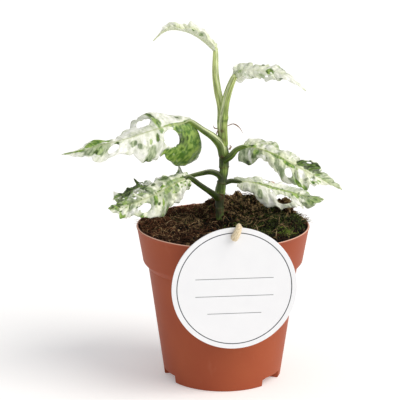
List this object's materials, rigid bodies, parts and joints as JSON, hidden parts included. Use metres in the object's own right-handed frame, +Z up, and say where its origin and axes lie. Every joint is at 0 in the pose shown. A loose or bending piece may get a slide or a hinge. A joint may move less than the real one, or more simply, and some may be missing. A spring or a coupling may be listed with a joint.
{
  "type": "potted variegated monstera",
  "caption": "Small climbing aroid with perforated, white-marbled green leaves on curved stalks, in a plastic nursery pot of soil with a blank round paper tag tied over the rim.",
  "frame": {"origin": "centre of the pot's flat base, on the surface it stands on", "axes": "+Z up along the pot, -Y toward the side with the tag, +X to the right of someone facing the tag"},
  "size_m": [0.189, 0.1259, 0.2494],
  "materials": {
    "pot_plastic": "matt terracotta-coloured plastic",
    "soil": "rough, fibrous and crumbly",
    "stem": "smooth green skin with brown joints",
    "petiole": "smooth, slightly shiny",
    "leaf": "leathery, cream-white with grey-green and green marbling",
    "dried_sheath": "dry and papery",
    "tag_card": "uncoated white card with a plain ring",
    "cord": "natural twisted fibre"
  },
  "bodies": {
    "root": {"pot": "pot_plastic", "soil": "soil", "stem": "stem", "petiole_left_front": "petiole", "petiole_left_back": "petiole", "petiole_right_lower": "petiole", "petiole_right_upper": "petiole", "petiole_left_large": "petiole", "petiole_top_right": "petiole", "petiole_top_left": "petiole", "leaf_left_front": "leaf", "leaf_left_back": "leaf", "leaf_right_lower": "leaf", "leaf_right_upper": "leaf", "leaf_left_large": "leaf", "leaf_top_right": "leaf", "leaf_top_left": "leaf", "dried_strand_right": "dried_sheath", "dried_strand_left": "dried_sheath", "tag": "tag_card", "tag_cord": "cord"}
  },
  "joints": []
}
